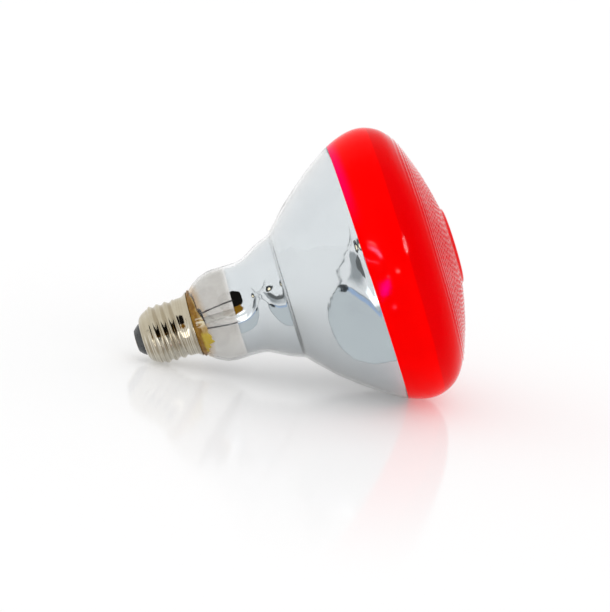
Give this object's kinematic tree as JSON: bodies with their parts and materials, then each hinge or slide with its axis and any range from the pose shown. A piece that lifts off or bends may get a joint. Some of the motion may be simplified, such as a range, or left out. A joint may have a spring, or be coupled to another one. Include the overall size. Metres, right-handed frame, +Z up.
{
  "type": "infrared reflector heat lamp bulb",
  "caption": "Red-fronted infrared reflector bulb with clear neck, mirrored bowl and E27 screw cap, lying on its side.",
  "frame": {"origin": "on the surface the bulb rests on, under the middle of its bounding box", "axes": "+X from the cap end towards the red face along the ground, +Z up; the bulb axis lies in the XZ plane and rises 25.0 degrees towards the red face"},
  "size_m": [0.1436, 0.1216, 0.1138],
  "materials": {
    "nickel_plate": "nickel plated, bright",
    "black_glass": "moulded opaque glass",
    "contact_brass": "satin",
    "solder": "dull",
    "cement": "matt, rough edge",
    "clear_glass": "clear",
    "mirror_film": "mirror",
    "red_lacquer": "gloss",
    "copper": "drawn wire",
    "lead_wire": "drawn wire",
    "tungsten": "drawn wire",
    "fuse_glass": "clear"
  },
  "bodies": {
    "root": {"cap_shell": "nickel_plate", "cap_insulator": "black_glass", "centre_contact": "contact_brass", "centre_solder": "solder", "side_solder": "solder", "basing_cement": "cement", "glass_envelope": "clear_glass", "reflector_coating": "mirror_film", "red_lacquer": "red_lacquer", "stem_flare": "clear_glass", "exhaust_tube": "clear_glass", "arbor_rod": "clear_glass", "seal_wire_a": "copper", "seal_wire_b": "copper", "inner_lead_a": "lead_wire", "inner_lead_b": "lead_wire", "filament_coil": "tungsten", "filament_support_1": "tungsten", "filament_support_2": "tungsten", "filament_support_3": "tungsten", "centre_lead": "copper", "fuse_link": "fuse_glass", "fuse_tail": "copper", "side_lead": "copper"}
  },
  "joints": []
}
